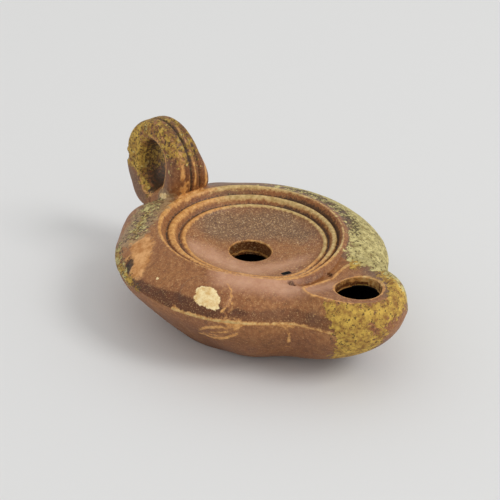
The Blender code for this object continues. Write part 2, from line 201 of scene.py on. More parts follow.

# How high the band of painted shade over the seam reaches, by bearing
BAND_TOP = {12: 23.0, 25: 21.8, 40: 21.2, 52: 21.0, 60: 22.6, 74: 22.2, 86: 21.2, 100: 20.6}

# Lime crust: where it begins on the nozzle's near side, as distance along the axis by height, and its relief
CRUST_EDGE = {5.0: 38.6, 13.0: 43.4, 19.0: 43.6, 21.5: 42.4, 24.5: 39.2}
CRUST_RISE = 0.35
CRUST_ROUGHNESS = 0.06

# Marks on the surface, drawn with strokes: each stroke's corners are x, y, z and the half width there
DRAWN = {
    "boss chip": [
        [(-31.0, -13.9, 23.8, 1.9), (-30.7, -17.6, 23.3, 2.1)],
        [(-32.5, -14.2, 22.7, 1.4), (-31.2, -19.0, 22.4, 1.4)],
        [(-29.6, -14.6, 24.5, 1.3), (-29.2, -16.2, 24.4, 1.1)],
    ],
    "small chips": [
        [(-33.6, 0.4, 22.3, 0.35)],
        [(-6.6, 32.4, 25.0, 0.8), (-7.4, 28.6, 26.2, 0.8)],
        [(5.2, -35.8, 24.9, 0.4), (6.3, -36.6, 24.6, 0.5)],
    ],
    "seam break": [
        [(-30.6, -21.2, 19.4, 0.9), (-27.9, -24.3, 19.4, 0.7), (-24.0, -26.6, 19.2, 0.4)],
        [(-29.2, -21.2, 20.2, 0.9), (-27.4, -21.9, 21.4, 0.6), (-25.4, -23.9, 21.5, 0.4)],
    ],
    "seam hollow": [
        [(-28.3, -22.2, 20.3, 0.5), (-27.2, -23.4, 20.6, 0.8), (-25.8, -24.8, 20.3, 0.4)],
    ],
    "leaf-shaped scrape": [
        [
            (-31.0, -13.5, 12.3, 0.25), (-31.6, -16.6, 14.9, 0.45),
            (-30.7, -20.5, 16.6, 0.4), (-28.1, -24.7, 16.9, 0.2),
        ],
        [
            (-30.0, -12.8, 10.0, 0.5), (-29.0, -15.5, 9.6, 0.55),
            (-28.6, -20.0, 11.8, 0.4), (-28.0, -24.0, 14.9, 0.2),
        ],
        [(-30.4, -17.0, 13.0, 0.15), (-29.6, -21.0, 14.7, 0.25), (-28.4, -23.8, 15.8, 0.1)],
    ],
    "inside of the scrape": [[(-30.2, -14.5, 11.0, 0.3), (-28.7, -19.5, 12.6, 0.5)]],
    "dark pit": [[(-32.4, 13.2, 21.5, 1.2), (-33.6, 12.0, 20.8, 1.7), (-35.2, 10.6, 19.6, 0.9)]],
    "nick": [[(-18.5, -32.8, 15.2, 0.35), (-18.1, -32.4, 13.4, 0.3)]],
    "edge at the boss's foot": [
        [(-29.4, -20.9, 19.0, 0.4), (-27.7, -21.6, 20.4, 0.35), (-26.8, -20.9, 22.0, 0.3)],
    ],
    "rubbed lines": [
        [(-13.9, -36.6, 23.0, 0.15), (-12.8, -40.6, 23.4, 0.3)],
        [(-14.2, -37.9, 22.2, 0.1), (-13.2, -40.8, 22.6, 0.3)],
        [(-20.1, -31.4, 15.9, 0.1), (-18.9, -32.6, 16.1, 0.3), (-17.8, -33.5, 15.8, 0.3)],
        [(-18.2, -33.1, 15.5, 0.35), (-17.8, -32.9, 14.2, 0.3), (-17.3, -32.4, 12.3, 0.45)],
        [(-36.2, -9.0, 19.6, 0.2), (-36.0, -10.0, 18.8, 0.3)],
        [(-17.3, -31.1, 10.3, 0.15), (-15.9, -32.3, 9.6, 0.2), (-14.7, -34.1, 9.8, 0.15)],
    ],
    "bare patch": [[
        (-26.0, 18.8, 23.4, 2.8), (-28.0, 13.5, 23.4, 3.2),
        (-32.0, 9.8, 22.4, 3.0), (-34.5, 7.5, 21.0, 2.2),
    ]],
    "dusty root": [[(-4.0, 30.5, 25.0, 3.2), (-15.5, 27.0, 24.0, 5.0), (-25.0, 22.0, 22.5, 5.0)]],
    "gap in the tip's crust": [[(-5.8, -49.4, 21.0, 0.9), (-4.6, -50.4, 18.0, 0.9)]],
    "crust on the handle": [[(-4.6, 45.0, 31.0, 2.0), (-5.0, 42.6, 26.0, 1.3), (-5.6, 38.4, 22.9, 0.9)]],
    "crust on the left": [[
        (-29.5, 24.5, 20.0, 1.6), (-33.4, 17.5, 19.4, 1.5),
        (-36.2, 11.0, 19.0, 1.2), (-37.2, 4.0, 18.6, 0.6),
    ]],
    "crust at the root": [[(-9.0, 31.0, 23.5, 3.4), (-15.5, 27.0, 23.8, 4.2), (-24.0, 22.0, 23.0, 4.2)]],
    "dark half of the disc": [[(2.0, 14.0, 20.0, 9.0), (15.0, 4.0, 20.0, 8.0), (11.0, -10.0, 20.0, 5.0)]],
}

# The drawn marks that go below the surface: depth, how ragged the edge is, and from where to where it sinks
CHIPPED = {
    "boss chip": (0.16, 0.35, 0.0, 0.35),
    "seam hollow": (0.45, 0.35, -0.2, 0.7),
    "seam break": (0.18, 0.35, 0.0, 0.5),
    "leaf-shaped scrape": (0.12, 0.0, 0.0, 0.3),
    "dark pit": (0.35, 0.35, 0.0, 0.8),
    "nick": (0.25, 0.0, 0.0, 0.25),
}

# Chips on the handle's back edge: the stroke, its depth, the seed of its ragged edge, and how far in it sinks
HANDLE_CHIPS = [((-3.6, 50.6, 30.4, 1.9), 1.0, 37, 0.9), ((-3.4, 50.6, 33.8, 1.3), 0.8, 38, 0.8)]

# Tones of the slip, drawn in the same way as the marks: the softness of each stroke, then its corners
TONES = {
    # Rosy: the slip's tone and a painted sheen, lighter on the disc's left and front and on the front
    # shoulder
    "rosy_and_painted_sheen": [
        (7.0, (-13.0, 6.0, 20.0, 8.0), (-9.0, -9.0, 20.0, 8.0), (4.0, -14.0, 20.0, 5.0)),
        (6.0, (-22.0, -14.0, 25.0, 7.0), (-10.0, -29.0, 25.0, 7.0), (-4.0, -32.0, 25.0, 5.0)),
    ],
    "grey": [
        (7.0, (0.0, 14.0, 20.0, 10.0), (14.0, 4.0, 20.0, 10.0), (15.0, -6.0, 20.0, 7.0)),
        (4.0, (3.0, -46.0, 25.0, 4.0), (10.0, -36.0, 25.0, 5.0), (15.0, -27.0, 25.0, 5.0)),
        (3.0, (-6.0, 48.0, 25.0, 4.5), (-8.0, 40.0, 22.0, 4.0)),
        (3.0, (0.0, 29.0, 24.5, 2.5), (24.0, 15.0, 24.5, 3.0)),
        (3.0, (-14.0, -38.0, 21.0, 3.0)),
    ],
}

# Value of a mark where there is none of it
NOWHERE = -5.0

# Coats on the slip, each over the ones before: its mark, its two colours and the width of their patches, the
# width and reach of the noise that makes its edge ragged, the softness of the edge, and its share at most
COATS = [
    # Rosy slip, lighter on the disc and the front shoulder: partly its tone, partly a painted sheen
    ("rosy_and_painted_sheen", "#c08a69", "#d09e7e", 4.0, 3.0, 0.1, 0.5, 0.9),
    ("grey", "#644630", "#7c5b40", 2.0, 2.5, 0.12, 0.5, 0.9),
    # Painted shade: the band over the seam, the lower body, the insides of the holes, pits and the dots'
    # crescents
    ("deep", "#4e2400", "#643208", 2.0, 2.5, 0.1, 0.5, 0.95),
    ("sandy", "#c8985c", "#e4bd84", 1.0, 0.38, 1.0, 0.3, 0.55),
    ("sandy", "#dcb47c", "#f2d8aa", 1.0, 0.6, 0.52, 0.12, 0.65),
    ("worn", "#c07e3a", "#ecb468", 1.2, 1.0, 0.2, 0.22, 0.9),
    ("pale", "#ac8f52", "#dcc083", 1.2, 1.0, 0.2, 0.22, 0.9),
    ("bare", "#bd7f42", "#ecb274", 2.2, 1.3, 0.5, 0.5, 0.9),
    ("dusty", "#866a4a", "#b4966c", 1.2, 1.6, 0.8, 0.4, 0.8),
    ("crust", "#94692c", "#d9b34e", 1.9, 1.7, 1.4, 0.35, 0.95),
    ("olive", "#93854f", "#d8ca8a", 1.7, 1.7, 1.4, 0.35, 0.95),
    ("aged", "#4c3614", "#7c6030", 1.5, 2.0, 0.25, 0.5, 0.4),
    ("dots", "#33240f", "#4e3819", 1.0, 0.75, 1.0, 0.15, 0.85),
    # Dark grooves, pits and nicks, and the stamped dots' crescents of painted shadow
    ("darkened_and_painted_shade", "#20150b", "#452e1a", 1.0, 0.7, 0.3, 0.2, 0.85),
    ("chip", "#dfb776", "#fae4ae", 1.4, 1.4, 0.3, 0.1, 1.0),
    # Painted shade: the chamber's inside and the air hole, near black
    ("chamber", "#0b0705", "#0b0705", 1.0, 1.0, 0.0, 0.5, 1.0),
]

# Fineness of the grids. The columns are closest at one bearing, and the rows' spacing is measured at another.
COLUMNS = 460
CLOSEST_BEARING = 25.0
CLOSER_BY = 0.35
SPACING_BEARING = 1.5
SHOULDER_ROWS = 54
UNDERSIDE_ROWS = 36
RING_ROWS = 38
DISC_ROWS = 12
INSIDE_ROWS = 6
HANDLE_STEPS = 200
HANDLE_POINTS = 88


def ease(value, start, end):
    """0 before start, 1 after end, smooth between."""
    share = np.clip((value - start) / (end - start), 0.0, 1.0)
    return share * share * (3.0 - 2.0 * share)


def bell(off, width):
    """1 where off is 0, falling to both sides as a bell of that width."""
    return np.exp(-((off / width) ** 2))


def most(*inside):
    """The most of several marks at each point."""
    return np.maximum.reduce(np.broadcast_arrays(*inside))


def smooth_least(a, b, blend):
    """The lesser of a and b, rounded off where they differ by less than blend."""
    share = np.clip(0.5 + 0.5 * (b - a) / blend, 0.0, 1.0)
    return b * (1.0 - share) + a * share - blend * share * (1.0 - share)


def noise(points, size, seed):
    """Random values from -1 to 1 on a cubic lattice of that size, eased between the corners of each cell."""
    table = np.random.default_rng(seed).uniform(-1.0, 1.0, (32, 32, 32))
    place = points / size
    cell = np.floor(place).astype(int)
    part = place - cell
    part = part * part * (3.0 - 2.0 * part)
    total = np.zeros(points.shape[:-1])
    for corner in np.ndindex(2, 2, 2):
        weight = np.prod(np.where(corner, part, 1.0 - part), axis=-1)
        spot = (cell + corner) % 32
        total += weight * table[spot[..., 0], spot[..., 1], spot[..., 2]]
    return total


def rough(points, size, seed):
    """Three layers of noise, each half the size and half the height of the one before."""
    return sum(0.5**layer * noise(points, size * 0.5**layer, seed + layer) for layer in range(3)) / 1.4


def curve_through(corners, steps, closed):
    """Points of a smooth curve through the corners: each span is a cubic along its neighbours' chords."""
    corners = np.asarray(corners, float)
    if closed:
        around = np.concatenate([corners[-1:], corners, corners[:2]])
    else:
        around = np.concatenate([2 * corners[:1] - corners[1:2], corners, 2 * corners[-1:] - corners[-2:-1]])
    p0, p1, p2, p3 = (around[start:start + len(around) - 3, None] for start in range(4))
    t = (np.arange(steps) / steps)[None, :, None]
    turn = (p2 - p0) * t + (2 * p0 - 5 * p1 + 4 * p2 - p3) * t**2 + (3 * p1 - p0 - 3 * p2 + p3) * t**3
    points = (p1 + 0.5 * turn).reshape(-1, corners.shape[1])
    return points if closed else np.concatenate([points, corners[-1:]])


def even_points(points, count, closed):
    """The given number of points spaced evenly along a polyline."""
    if closed:
        points = np.concatenate([points, points[:1]])
    length = np.concatenate([[0.0], np.cumsum(np.linalg.norm(np.diff(points, axis=0), axis=1))])
    wanted = np.linspace(0.0, length[-1], count + 1)[:-1] if closed else np.linspace(0.0, length[-1], count)
    return np.stack([np.interp(wanted, length, points[:, axis]) for axis in range(points.shape[1])], axis=1)


def outline(bearing, inset):
    """Radius of the seam at each bearing: the circles of body and nozzle run together, found by halving."""
    low = np.full_like(bearing, 0.5 * BODY_RADIUS)
    high = np.full_like(bearing, NOZZLE_CENTRE + 2.0 * NOZZLE_RADIUS)
    for _ in range(30):
        radius = 0.5 * (low + high)
        across = radius * np.sin(bearing)
        along = radius * np.cos(bearing)
        body = np.hypot(across, along) - (BODY_RADIUS - inset)
        nozzle = np.hypot(across, along - NOZZLE_CENTRE) - (NOZZLE_RADIUS - inset)
        inside = smooth_least(body, nozzle, NOZZLE_BLEND) < 0.0
        low = np.where(inside, radius, low)
        high = np.where(inside, high, radius)
    return 0.5 * (low + high)


def nozzle_share(bearing):
    """0 on the round body, 1 at the nozzle's tip, smooth between."""
    return ease(outline(bearing, 0.0), BODY_RADIUS, NOZZLE_CENTRE + NOZZLE_RADIUS)


def keel_share(bearing):
    """0 on the round body, 1 below the nozzle: how far the underside has turned into the nozzle's keel."""
    full, none = np.cos(np.radians(KEEL_SPREAD))
    return ease(np.cos(bearing), none, full)


def fall(step, share, body_round, nozzle_round):
    """1 at a wall's inner edge, 0 at the seam, at the share step of its width: (1 - step ** A) ** (1 / B)."""
    power = body_round[0] + (nozzle_round[0] - body_round[0]) * share
    root = body_round[1] + (nozzle_round[1] - body_round[1]) * share
    return (1.0 - step**power) ** (1.0 / root)


def shoulder(step, bearing, inset):
    """Radius and height of the upper wall at the share step from the rings to the seam."""
    edge = SHOULDER_START - 0.5 * inset
    share = nozzle_share(bearing)
    crown = SHOULDER_HEIGHT + (NOZZLE_TOP_HEIGHT - SHOULDER_HEIGHT) * share - inset
    left = fall(step, share, SHOULDER_ROUND, NOZZLE_TOP_ROUND)
    radius = edge + (outline(bearing, inset) - edge) * step
    return radius, SEAM_HEIGHT + (crown - SEAM_HEIGHT) * left - NOZZLE_DIP * share * (1.0 - step)


def underside(step, bearing, inset):
    """Radius and height of the lower wall at the share step from the base to the seam."""
    edge = BASE_RADIUS - inset
    left = fall(step, keel_share(bearing), UNDERSIDE_ROUND, NOZZLE_UNDERSIDE_ROUND)
    return edge + (outline(bearing, inset) - edge) * step, SEAM_HEIGHT - (SEAM_HEIGHT - inset) * left


def top_height(across, along):
    """Height of the upper wall at a place outside the rings."""
    bearing = np.arctan2(across, along)
    reach = outline(bearing, 0.0) - SHOULDER_START
    step = np.clip((np.hypot(across, along) - SHOULDER_START) / reach, 0.0, 1.0)
    return shoulder(step, bearing, 0.0)[1]


def even_steps(wall, bearing, count):
    """Shares from 0 to 1 that cut a wall's section at one bearing into equal lengths."""
    fine = 1.0 - np.linspace(1.0, 0.0, 2001) ** 2
    radius, height = wall(fine, np.full_like(fine, bearing), 0.0)
    return even_points(np.stack([radius, height, fine], axis=1), count, False)[:, 2]


def column_bearings():
    """Bearings of the columns, spaced along the seam, closer on the side of the camera and of the nozzle."""
    fine = np.linspace(0.0, 2.0 * math.pi, 2881)
    radius = outline(fine, 0.0)
    gaps = np.hypot(np.diff(radius * np.sin(fine)), np.diff(radius * np.cos(fine)))
    middle = 0.5 * (fine[1:] + fine[:-1])
    density = 1.0 + CLOSER_BY * np.cos(middle - math.radians(CLOSEST_BEARING))
    length = np.concatenate([[0.0], np.cumsum(gaps * density)])
    return np.interp(np.arange(COLUMNS) / COLUMNS * length[-1], length, fine)


def place(radius, height, bearing):
    """Points at a radius, a height and a bearing."""
    radius, height, bearing = np.broadcast_arrays(radius, height, bearing)
    return np.stack([-radius * np.sin(bearing), -radius * np.cos(bearing), height], axis=-1)


def look_up(table, value):
    """Value of a table at a place between its keys."""
    return np.interp(value, list(table), list(table.values()))


def ring_shift(radius):
    """How far the rings at each radius are off centre, across and along."""
    return np.stack([look_up(SHIFT_ACROSS, radius), look_up(SHIFT_ALONG, radius)], axis=-1)


def sink(radius, bearing):
    """How far rings and shoulder sink beside the nozzle: a bell over bearing, eased in and out by radius."""
    off = np.degrees(np.arctan2(np.sin(bearing), np.cos(bearing))) - SINK_BEARING
    return NOZZLE_SINK * bell(off, SINK_SPAN) * ease(radius, 14.0, 22.0) * (1.0 - ease(radius, 26.0, 36.0))


def disc_height(step, inset):
    """Height of the disc's plain curve at the share step of its width, on a wall inset from the outside."""
    bottom = FILL_HOLE_HEIGHT - inset
    return bottom + (SHOULDER_HEIGHT - inset - bottom) * step**DISC_CURVE


def outer_rows(bearing):
    """The outside, row by row.

    Up the filling hole's collar, over the lip, the disc, the rings and the shoulder to the seam, and down the
    underside to the base and its groove."""
    rows = []
    section = [(FILL_HOLE_RADIUS, FILL_HOLE_HEIGHT - COLLAR_DEPTH * share) for share in COLLAR_ROWS]
    for turn in np.radians(np.linspace(0.0, 90.0, 6)):
        section.append((
            FILL_HOLE_RADIUS + LIP_ROUND * (1.0 - math.cos(turn)),
            FILL_HOLE_HEIGHT - LIP_ROUND * (1.0 - math.sin(turn)),
        ))
    lip = FILL_HOLE_RADIUS + LIP_ROUND
    for step in np.linspace(0.0, 1.0, DISC_ROWS + 1)[1:-1]:
        height = FILL_HOLE_HEIGHT + (DISC_EDGE_HEIGHT - FILL_HOLE_HEIGHT) * step**DISC_CURVE
        section.append((lip + (DISC_EDGE_RADIUS - lip) * step, height))
    rings = even_points(curve_through(RING_SECTION, 8, False), RING_ROWS, False)[:-1]
    for radius, height in section + rings.tolist():
        spots = place(radius, height, bearing)
        spots[:, :2] += ring_shift(radius)
        spots[:, 2] += RIM_LEAN * spots[:, 1] * ease(radius, 8.0, 24.0) - sink(radius, bearing)
        rows.append(spots)
    for step in even_steps(shoulder, SPACING_BEARING, SHOULDER_ROWS):
        radius, height = shoulder(step, bearing, 0.0)
        spots = place(radius, height - sink(radius, bearing), bearing)
        fade = 1.0 - ease(step, 0.0, 0.5)
        spots[:, :2] += fade * ring_shift(OUTER_CREST)
        spots[:, 2] += fade * RIM_LEAN * spots[:, 1]
        rows.append(spots)
    for step in even_steps(underside, SPACING_BEARING, UNDERSIDE_ROWS)[-2::-1]:
        rows.append(place(*underside(step, bearing, 0.0), bearing))
    for share, depth in ((1.0, 0.0), (0.6, 0.8), (0.0, 1.0), (-0.6, 0.8), (-1.0, 0.0)):
        radius = BASE_GROOVE_RADIUS + share * BASE_GROOVE_HALF_WIDTH
        rows.append(place(radius, depth * BASE_GROOVE_DEPTH, bearing))
    return rows + [place(radius, 0.0, bearing) for radius in (12.0, 4.0)]


def wall_rows(bearing, inset):
    """Rows on a wall inset from the outside, from the rings over the shoulder and the seam to the base."""
    steps = np.sin(np.linspace(0.0, 0.5 * math.pi, INSIDE_ROWS))
    back = np.sin(np.linspace(0.5 * math.pi, 0.0, INSIDE_ROWS))[1:]
    upper = [place(*shoulder(step, bearing, inset), bearing) for step in steps]
    return upper + [place(*underside(step, bearing, inset), bearing) for step in back]


def inner_rows(bearing):
    """The inside, row by row: from the collar's lower edge, under disc and shoulder, down to the floor."""
    edge = SHOULDER_START - 0.5 * WALL
    rows = [place(FILL_HOLE_RADIUS + 1.2, FILL_HOLE_HEIGHT - COLLAR_DEPTH + 0.1, bearing)]
    rows[0][:, :2] += ring_shift(FILL_HOLE_RADIUS + 1.2)
    for step in np.linspace(0.0, 1.0, 6)[1:-1]:
        radius = FILL_HOLE_RADIUS + (edge - FILL_HOLE_RADIUS) * step
        rows.append(place(radius, disc_height(step, WALL), bearing))
    return rows + wall_rows(bearing, WALL)


def grid_normals(grid):
    """Outward unit normals of a grid whose columns close on themselves: the cross of its two directions."""
    along = np.gradient(grid, axis=0)
    around = np.roll(grid, -1, axis=1) - np.roll(grid, 1, axis=1)
    normal = np.cross(around, along)
    return normal / np.maximum(np.linalg.norm(normal, axis=-1, keepdims=True), 1e-9)


def gap_to_path(points, path):
    """Distance from each point to the nearest place on a path."""
    gap = np.full(points.shape[:-1], np.inf)
    for start, end in zip(path[:-1], path[1:]):
        span = end - start
        share = np.clip((points - start) @ span / (span @ span), 0.0, 1.0)
        gap = np.minimum(gap, np.linalg.norm(points - start - share[..., None] * span, axis=-1))
    return gap


def stroke(points, *corners):
    """How far inside a stroke each point lies: the stroke's half width there less the distance to its path.

    A corner is x, y, z and the half width."""
    corners = np.array(corners if len(corners) > 1 else corners * 2, float)
    inside = np.full(points.shape[:-1], -np.inf)
    for start, end in zip(corners[:-1], corners[1:]):
        span = end[:3] - start[:3]
        share = np.clip((points - start[:3]) @ span / max(span @ span, 1e-9), 0.0, 1.0)
        gap = np.linalg.norm(points - start[:3] - share[..., None] * span, axis=-1)
        inside = np.maximum(inside, start[3] + (end[3] - start[3]) * share - gap)
    return inside


def drawn(points, name):
    """How far inside a drawn mark each point lies: the most of its strokes."""
    return np.maximum.reduce([stroke(points, *corners) for corners in DRAWN[name]])


def toned(points, name):
    """Share of a tone at each point: the most of its strokes, each divided by its softness."""
    return np.maximum.reduce([stroke(points, *corners) / soft for soft, *corners in TONES[name]])


def heart_curve():
    """The heart's centre line in plan, closed."""
    half = np.array([(-across, -along) for across, along in HEART])
    other = half[-2:0:-1] * (-1.0, 1.0)
    curve = curve_through(np.concatenate([half, other]), 8, True)
    return np.concatenate([curve, curve[:1]])


def boss_place(points):
    """How far each point lies from the boss's centre, across and down the shoulder's slope, in mm."""
    bearing = np.array([math.radians(BOSS_BEARING)])
    spots = [place(*shoulder(BOSS_STEP + shift, bearing, 0.0), bearing)[0] for shift in (-0.1, 0.0, 0.1)]
    down = (spots[2] - spots[0]) / np.linalg.norm(spots[2] - spots[0])
    side = np.array([math.cos(bearing[0]), -math.sin(bearing[0]), 0.0])
    off = points - spots[1]
    return off @ side, off @ down


def boss_inside(points):
    """How far inside the boss's oval edge each point lies, in mm."""
    across, along = boss_place(points)
    share = np.hypot(across / BOSS_HALF_WIDTH, along / BOSS_HALF_LENGTH)
    return (1.0 - share) * 0.5 * (BOSS_HALF_WIDTH + BOSS_HALF_LENGTH)


def relief(points):
    """How far the outside stands proud of its plain form, along its normal."""
    x, y, height = np.moveaxis(points, -1, 0)
    radius = np.hypot(x, y)
    up = ease(height, SEAM_HEIGHT - 0.5, SEAM_HEIGHT + 1.5)
    rise = 0.10 * rough(points, 11.0, 1) + 0.03 * rough(points, 3.2, 5)
    rise *= ease(height, 0.0, 3.0)

    # Seam: a rounded ridge, worn down unevenly
    worn = np.clip(0.75 + 0.5 * rough(points, 6.0, 9), 0.15, 1.0)
    seam = np.clip(1.0 - ((height - SEAM_HEIGHT) / SEAM_HALF_WIDTH) ** 2, 0.0, 1.0) ** 1.5
    rise += SEAM_RISE * worn * seam * ease(radius, 34.0, 36.0)

    # Heart ridge: a rounded bar along its curve, fainter on the near side of its tip
    gap = gap_to_path(points[..., :2], heart_curve())
    bar = np.clip(1.0 - (gap / RIDGE_HALF_WIDTH) ** 2, 0.0, 1.0) ** 1.3
    strong = 0.75 + 0.25 * ease(-x, -6.0, 4.0) + 0.15 * noise(points, 5.0, 14)
    rise += up * RIDGE_RISE * strong * bar

    # Dots: a stamped hollow inside a low ring
    for across, along, _ in DOTS:
        off = np.hypot(x - across, y - along)
        rise += up * (DOT_RIM * bell(off - DOT_RADIUS, 0.4) - DOT_DEPTH * (1.0 - ease(off, 0.4, DOT_RADIUS)))

    # Boss: a low oval cushion with a crisp edge on the side of the nozzle, cut off below by the seam
    inside = boss_inside(points)
    across, along = boss_place(points)
    share = np.clip(inside / (0.5 * (BOSS_HALF_WIDTH + BOSS_HALF_LENGTH)), 0.0, 1.0)
    above = ease(height, SEAM_HEIGHT + 0.3, SEAM_HEIGHT + 2.2)
    rise += up * above * BOSS_RISE * (0.65 * ease(share, -0.2, 0.9) + 0.35 * ease(inside, -0.1, 0.6))
    rise += up * above * 0.2 * ease(across - 0.5 * along, -1.0, 4.0) * bell(inside - 0.5, 0.5)

    # The shoulder swells towards the handle's root on both sides
    root = bell(np.abs(x) - 13.5, 6.5) * bell(y - 32.5, 5.5) * np.where(x < 0.0, *ROOT_RISE)
    rise += root * ease(height, SEAM_HEIGHT - 4.0, SEAM_HEIGHT + 1.0)

    # Handwork: under the seam on the left and on the right of the nozzle's tip
    for centre, size, proud in SWELLINGS:
        rise += proud * bell(np.linalg.norm((points - centre) / size, axis=-1), 1.0)

    # Crust thickens the right shoulder a little and roughens what it covers, up to near the widest circle
    rise += CRUST_RISE * ease(x, 14.0, 26.0) * ease(radius, 26.5, 30.0) * (1.0 - ease(radius, 32.5, 36.5))
    rugged = ease(crust_depth(points), -0.5, 1.5) * (1.0 - ease(radius, 35.5, 37.0))
    rise += CRUST_ROUGHNESS * rough(points, 1.3, 61) * rugged
    return rise


def chips(points):
    """How deep the chips and scrapes go below the surface, all of them small."""
    ragged = rough(points, 1.8, 21)
    depth = 0.0
    for name, (deep, uneven, start, end) in CHIPPED.items():
        depth = depth + deep * ease(drawn(points, name) + uneven * ragged, start, end)
    return depth


def heart_outside(points):
    """How far outside the heart each point lies in plan, negative inside it."""
    curve = heart_curve()
    gap = gap_to_path(points[..., :2], curve)
    x, y = points[..., 0], points[..., 1]
    within = np.zeros(x.shape, bool)
    for (x0, y0), (x1, y1) in zip(curve[:-1], curve[1:]):
        if y0 != y1:
            within ^= ((y0 > y) != (y1 > y)) & (x < (x1 - x0) * (y - y0) / (y1 - y0) + x0)
    return np.where(within, -gap, gap)


def is_handle(points):
    """True on the handle."""
    x, y, z = np.moveaxis(points, -1, 0)
    return ((z > 26.6) & (y > 24.5)) | ((y > 36.5) & (z > 20.0) & (np.abs(x) < 11.0))


def crust_depth(points):
    """How deep inside the lime crusts each point lies, in mm, less where a crust is thin and broken."""
    x, y, z = np.moveaxis(points, -1, 0)
    radius = np.hypot(x, y)
    tip = -y - look_up(CRUST_EDGE, z) + 0.9 * np.maximum(x + 4.0, 0.0)
    above_heart = heart_outside(points) - 0.2 + 2.6 * ease(x, 1.0, 8.0)
    tip = np.where(z > 22.5, np.minimum(tip, above_heart), tip)
    tip = np.minimum(tip, np.maximum((z - 21.5) / 1.5, (-x - 2.5) / 2.5) + 0.4)
    tip = np.minimum(tip, -drawn(points, "gap in the tip's crust"))
    tip = np.minimum(tip, 1.2)
    sides = [(radius - 28.2) / 2.4, (x - 10.8) / 1.4, (15.0 - y) / 5.0, (z - 13.0) / 2.0]
    right = np.minimum(np.minimum.reduce(sides), 1.4 + 0.5 * ease(radius, 32.0, 36.0))
    face = np.minimum((z - 28.6) / 1.4, np.maximum((y - 39.0) / 2.4, (z - 37.5) / 3.5))
    face = np.minimum(face, 0.1 + 1.1 * ease(y, 40.0, 46.0))
    side = drawn(points, "crust on the handle")
    on_handle = np.where(is_handle(points), np.maximum(face, side), NOWHERE)
    left = drawn(points, "crust on the left")
    root = (drawn(points, "crust at the root") - 1.4) / 2.4
    return most(tip, right, on_handle, left, root - 0.45)


def build_object(name, points, faces):
    """An object at the origin from points in mm and faces."""
    mesh = bpy.data.meshes.new(name)
    mesh.from_pydata((points * MM).tolist(), [], faces)
    mesh.validate()
    thing = bpy.data.objects.new(name, mesh)
    bpy.context.scene.collection.objects.link(thing)
    return thing


def grid_faces(rows, columns, closed_rows):
    """Four-cornered faces of a grid whose columns close on themselves."""
    row = np.arange(rows if closed_rows else rows - 1)[:, None]
    column = np.arange(columns)[None, :]
    after = (row + 1) % rows
    beside = (column + 1) % columns
    here = row * columns
    there = after * columns
    corners = np.broadcast_arrays(here + column, here + beside, there + beside, there + column)
    return np.stack(corners, axis=-1).reshape(-1, 4)


def closed_object(name, grid, closed_rows=False):
    """Closed object from a grid of points: both ends are capped with fans, or the rows close on themselves.

    Its faces are turned outwards where the volume that they enclose comes out negative."""
    rows, columns = grid.shape[:2]
    points = grid.reshape(-1, 3)
    quads = grid_faces(rows, columns, closed_rows)
    fans = np.zeros((0, 3), int)
    if not closed_rows:
        points = np.concatenate([points, grid[0].mean(0)[None], grid[-1].mean(0)[None]])
        here = np.arange(columns)
        beside = (here + 1) % columns
        end = (rows - 1) * columns
        first = np.column_stack([beside, here, np.full(columns, rows * columns)])
        last = np.column_stack([end + here, end + beside, np.full(columns, rows * columns + 1)])
        fans = np.concatenate([first, last])
    triangles = np.concatenate([quads[:, :3], quads[:, [0, 2, 3]], fans])
    a, b, c = (points[triangles[:, corner]] for corner in range(3))
    if (a * np.cross(b, c)).sum() < 0.0:
        quads, fans = quads[:, ::-1], fans[:, ::-1]
    return build_object(name, points, quads.tolist() + fans.tolist())


def body():
    """The hollow body: the outside with its relief from the base up to the lip, then the inside down."""
    bearing = column_bearings()
    outside = np.stack(outer_rows(bearing))
    normal = grid_normals(outside)
    flat = outside[..., 2] < 0.01
    lip = np.hypot(outside[..., 0], outside[..., 1]) < FILL_HOLE_RADIUS + 0.6
    rise = (relief(outside) - chips(outside)) * ~flat * ~lip
    outside = outside + normal * rise[..., None]
    inside = np.stack(inner_rows(bearing))
    return closed_object("oil_lamp_body", np.concatenate([outside[::-1], inside]))


def wall_core():
    """Closed solid up to halfway through the wall. It trims the handle, so that the chamber stays empty."""
    bearing = column_bearings()[::4] + 0.01
    inset = 0.5 * WALL
    edge = SHOULDER_START - 0.5 * inset
    steps = np.linspace(0.1, 1.0, 5)[:-1]
    rows = [place(edge * step, disc_height(step, inset), bearing) for step in steps]
    return closed_object("wall_core", np.stack(rows + wall_rows(bearing, inset)))


